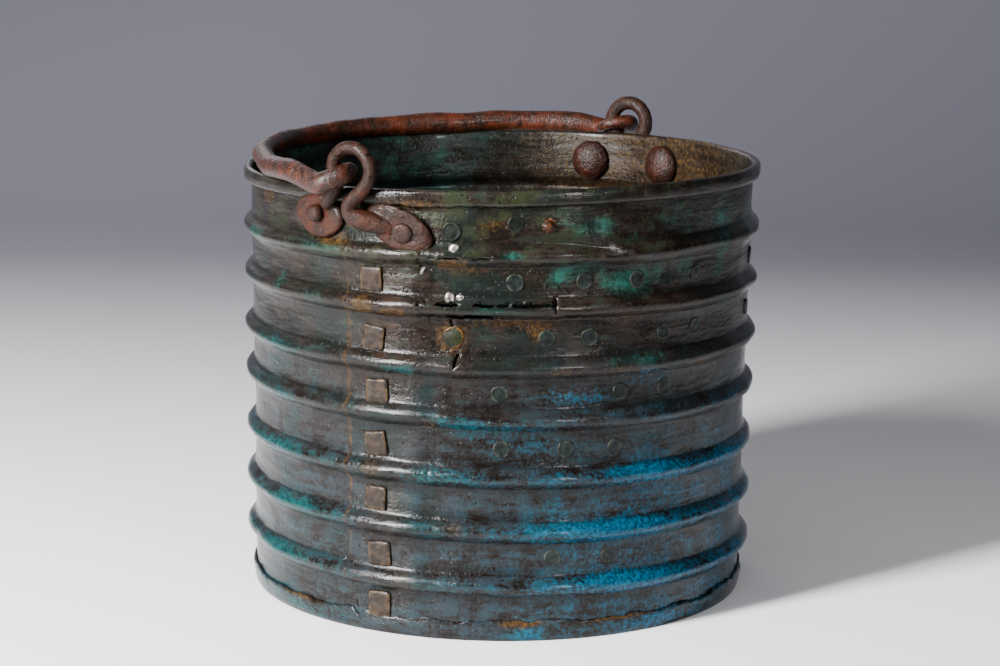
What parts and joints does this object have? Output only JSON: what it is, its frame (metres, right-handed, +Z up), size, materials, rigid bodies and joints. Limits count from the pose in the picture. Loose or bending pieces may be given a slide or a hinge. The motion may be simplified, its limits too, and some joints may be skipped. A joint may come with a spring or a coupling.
{
  "type": "ribbed sheet bronze bucket",
  "caption": "Cylindrical ribbed bucket of riveted sheet bronze with folded rim and base, forged iron lugs and a hinged round-bar handle resting on the rim; worn, patched and corroded.",
  "frame": {"origin": "centre of the bucket's underside, on the surface it stands on", "axes": "+Z up; +X from the front lug towards the rear lug, along the handle's hinge line; +Y towards the side of the rim on which the handle rests"},
  "size_m": [0.3332, 0.304, 0.2727],
  "materials": {
    "bronze_sheet": "dark brown to blue-green bronze patina, waxed",
    "bronze_rivet": "hammered bronze, dark patina",
    "forged_iron": "forged iron, red-brown rust under wax"
  },
  "bodies": {
    "bucket": {"wall": "bronze_sheet", "base_pan": "bronze_sheet", "lug_front": "forged_iron", "lug_rear": "forged_iron", "lug_rivet_front_left": "forged_iron", "lug_rivet_front_right": "forged_iron", "lug_rivet_rear_left": "forged_iron", "lug_rivet_rear_right": "forged_iron", "seam_rivet_1": "bronze_rivet", "seam_rivet_2": "bronze_rivet", "seam_rivet_3": "bronze_rivet", "seam_rivet_4": "bronze_rivet", "seam_rivet_5": "bronze_rivet", "seam_rivet_6": "bronze_rivet", "seam_rivet_7": "bronze_rivet", "repair_plate_upper": "bronze_sheet", "repair_plate_middle": "bronze_sheet", "repair_plate_lower": "bronze_sheet", "upper_plate_rivet_1": "bronze_rivet", "upper_plate_rivet_2": "bronze_rivet", "upper_plate_rivet_3": "bronze_rivet", "upper_plate_rivet_4": "bronze_rivet", "upper_plate_rivet_5": "bronze_rivet", "upper_plate_rivet_6": "bronze_rivet", "upper_plate_rivet_7": "bronze_rivet", "upper_plate_rivet_8": "bronze_rivet", "upper_plate_rivet_9": "bronze_rivet", "middle_plate_rivet_1": "bronze_rivet", "middle_plate_rivet_2": "bronze_rivet", "middle_plate_rivet_3": "bronze_rivet", "middle_plate_rivet_4": "bronze_rivet", "middle_plate_rivet_5": "bronze_rivet", "middle_plate_rivet_6": "bronze_rivet", "lower_plate_rivet_1": "bronze_rivet", "lower_plate_rivet_2": "bronze_rivet", "crack_rivet": "bronze_rivet", "side_rivet_upper": "bronze_rivet", "side_rivet_lower": "bronze_rivet", "band_rivet_dark": "bronze_rivet", "band_rivet_spot": "bronze_rivet", "band_rivet_copper": "bronze_rivet"},
    "handle": {"bail": "forged_iron"}
  },
  "joints": [
    {"name": "handle_swing", "type": "hinge", "parent": "bucket", "child": "handle", "pos_m": [0, 0, 0.257], "axis": [1, 0, 0], "range_deg": [0, 180]}
  ]
}
